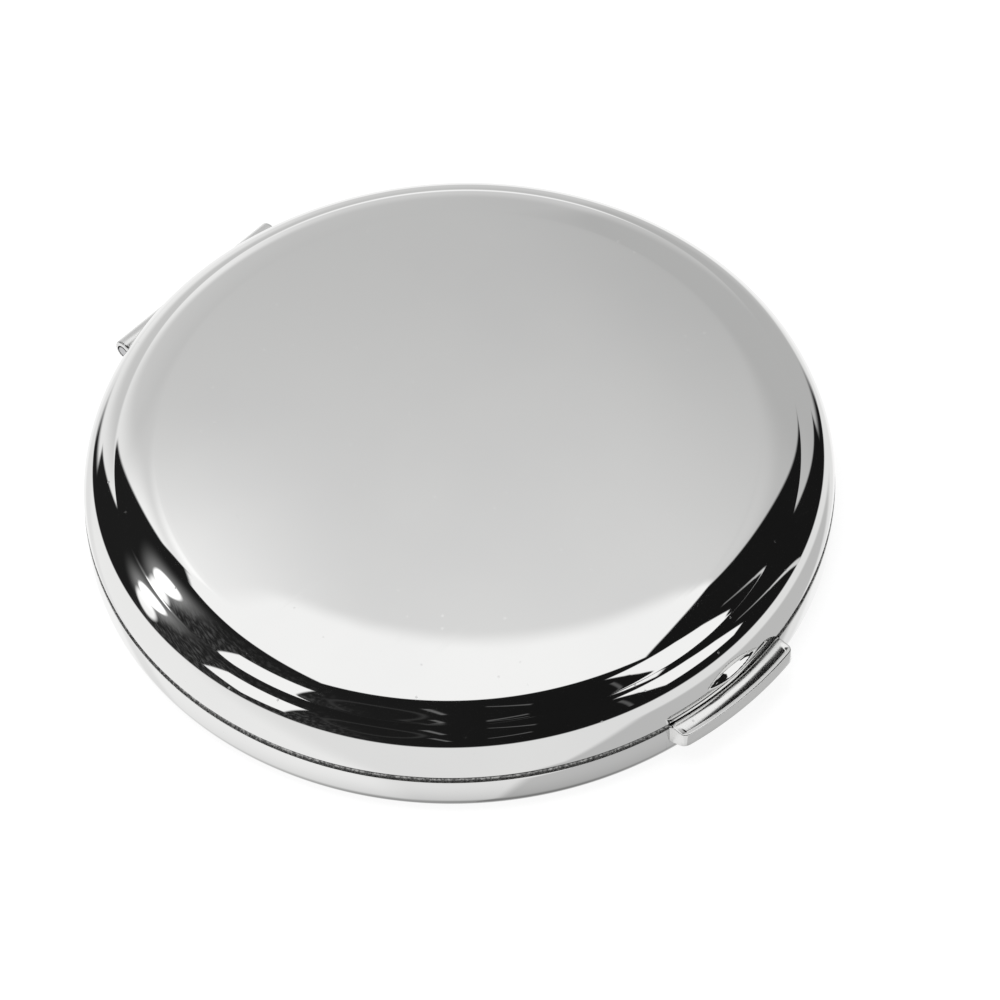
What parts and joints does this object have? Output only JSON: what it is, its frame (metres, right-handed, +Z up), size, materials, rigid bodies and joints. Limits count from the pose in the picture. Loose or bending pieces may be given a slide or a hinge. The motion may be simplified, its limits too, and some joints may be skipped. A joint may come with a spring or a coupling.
{
  "type": "compact mirror",
  "caption": "Round pocket compact in polished metal: a stepped domed lid folds back on a pin hinge to show two mirrors, and a front push button frees the catch.",
  "frame": {"origin": "centre of the round case on the base's flat underside", "axes": "+Z up through the lid, +Y towards the hinge, -Y towards the push button"},
  "size_m": [0.07, 0.0723, 0.0121],
  "materials": {
    "case_metal": "bright polished plating",
    "bezel_metal": "bright plated ring",
    "hinge_metal": "bright plated sheet",
    "inner_steel": "plain brushed",
    "mirror_glass": "silvered glass",
    "tray_plastic": "fine moulded texture",
    "pad_foam": "foam adhesive"
  },
  "bodies": {
    "base": {"base_shell": "case_metal", "base_tray": "tray_plastic", "base_mirror_pad": "pad_foam", "base_mirror": "mirror_glass", "base_bezel": "bezel_metal", "base_hinge_leaf": "hinge_metal", "base_hinge_rivets": "inner_steel", "hinge_pin": "inner_steel", "latch_spring": "inner_steel"},
    "lid": {"lid_shell": "case_metal", "lid_tray": "tray_plastic", "lid_mirror_pad": "pad_foam", "lid_mirror": "mirror_glass", "lid_bezel": "bezel_metal", "lid_hinge_leaf": "hinge_metal", "lid_hinge_rivets": "inner_steel", "lid_strike": "inner_steel", "lid_strike_rivets": "inner_steel"},
    "button": {"push_button": "case_metal", "latch_slide": "inner_steel", "button_rivets": "inner_steel"}
  },
  "joints": [
    {"name": "lid_hinge", "type": "hinge", "parent": "base", "child": "lid", "pos_m": [0, 0.0343, 0.0052], "axis": [-1, 0, 0], "range_deg": [0, 120]},
    {"name": "button_slide", "type": "slide", "parent": "base", "child": "button", "axis": [0, 1, 0], "range_m": [0, 0.0006], "stiffness_N_per_m": 2000, "springref_m": -0.0005, "deforming": ["latch_spring"]}
  ]
}
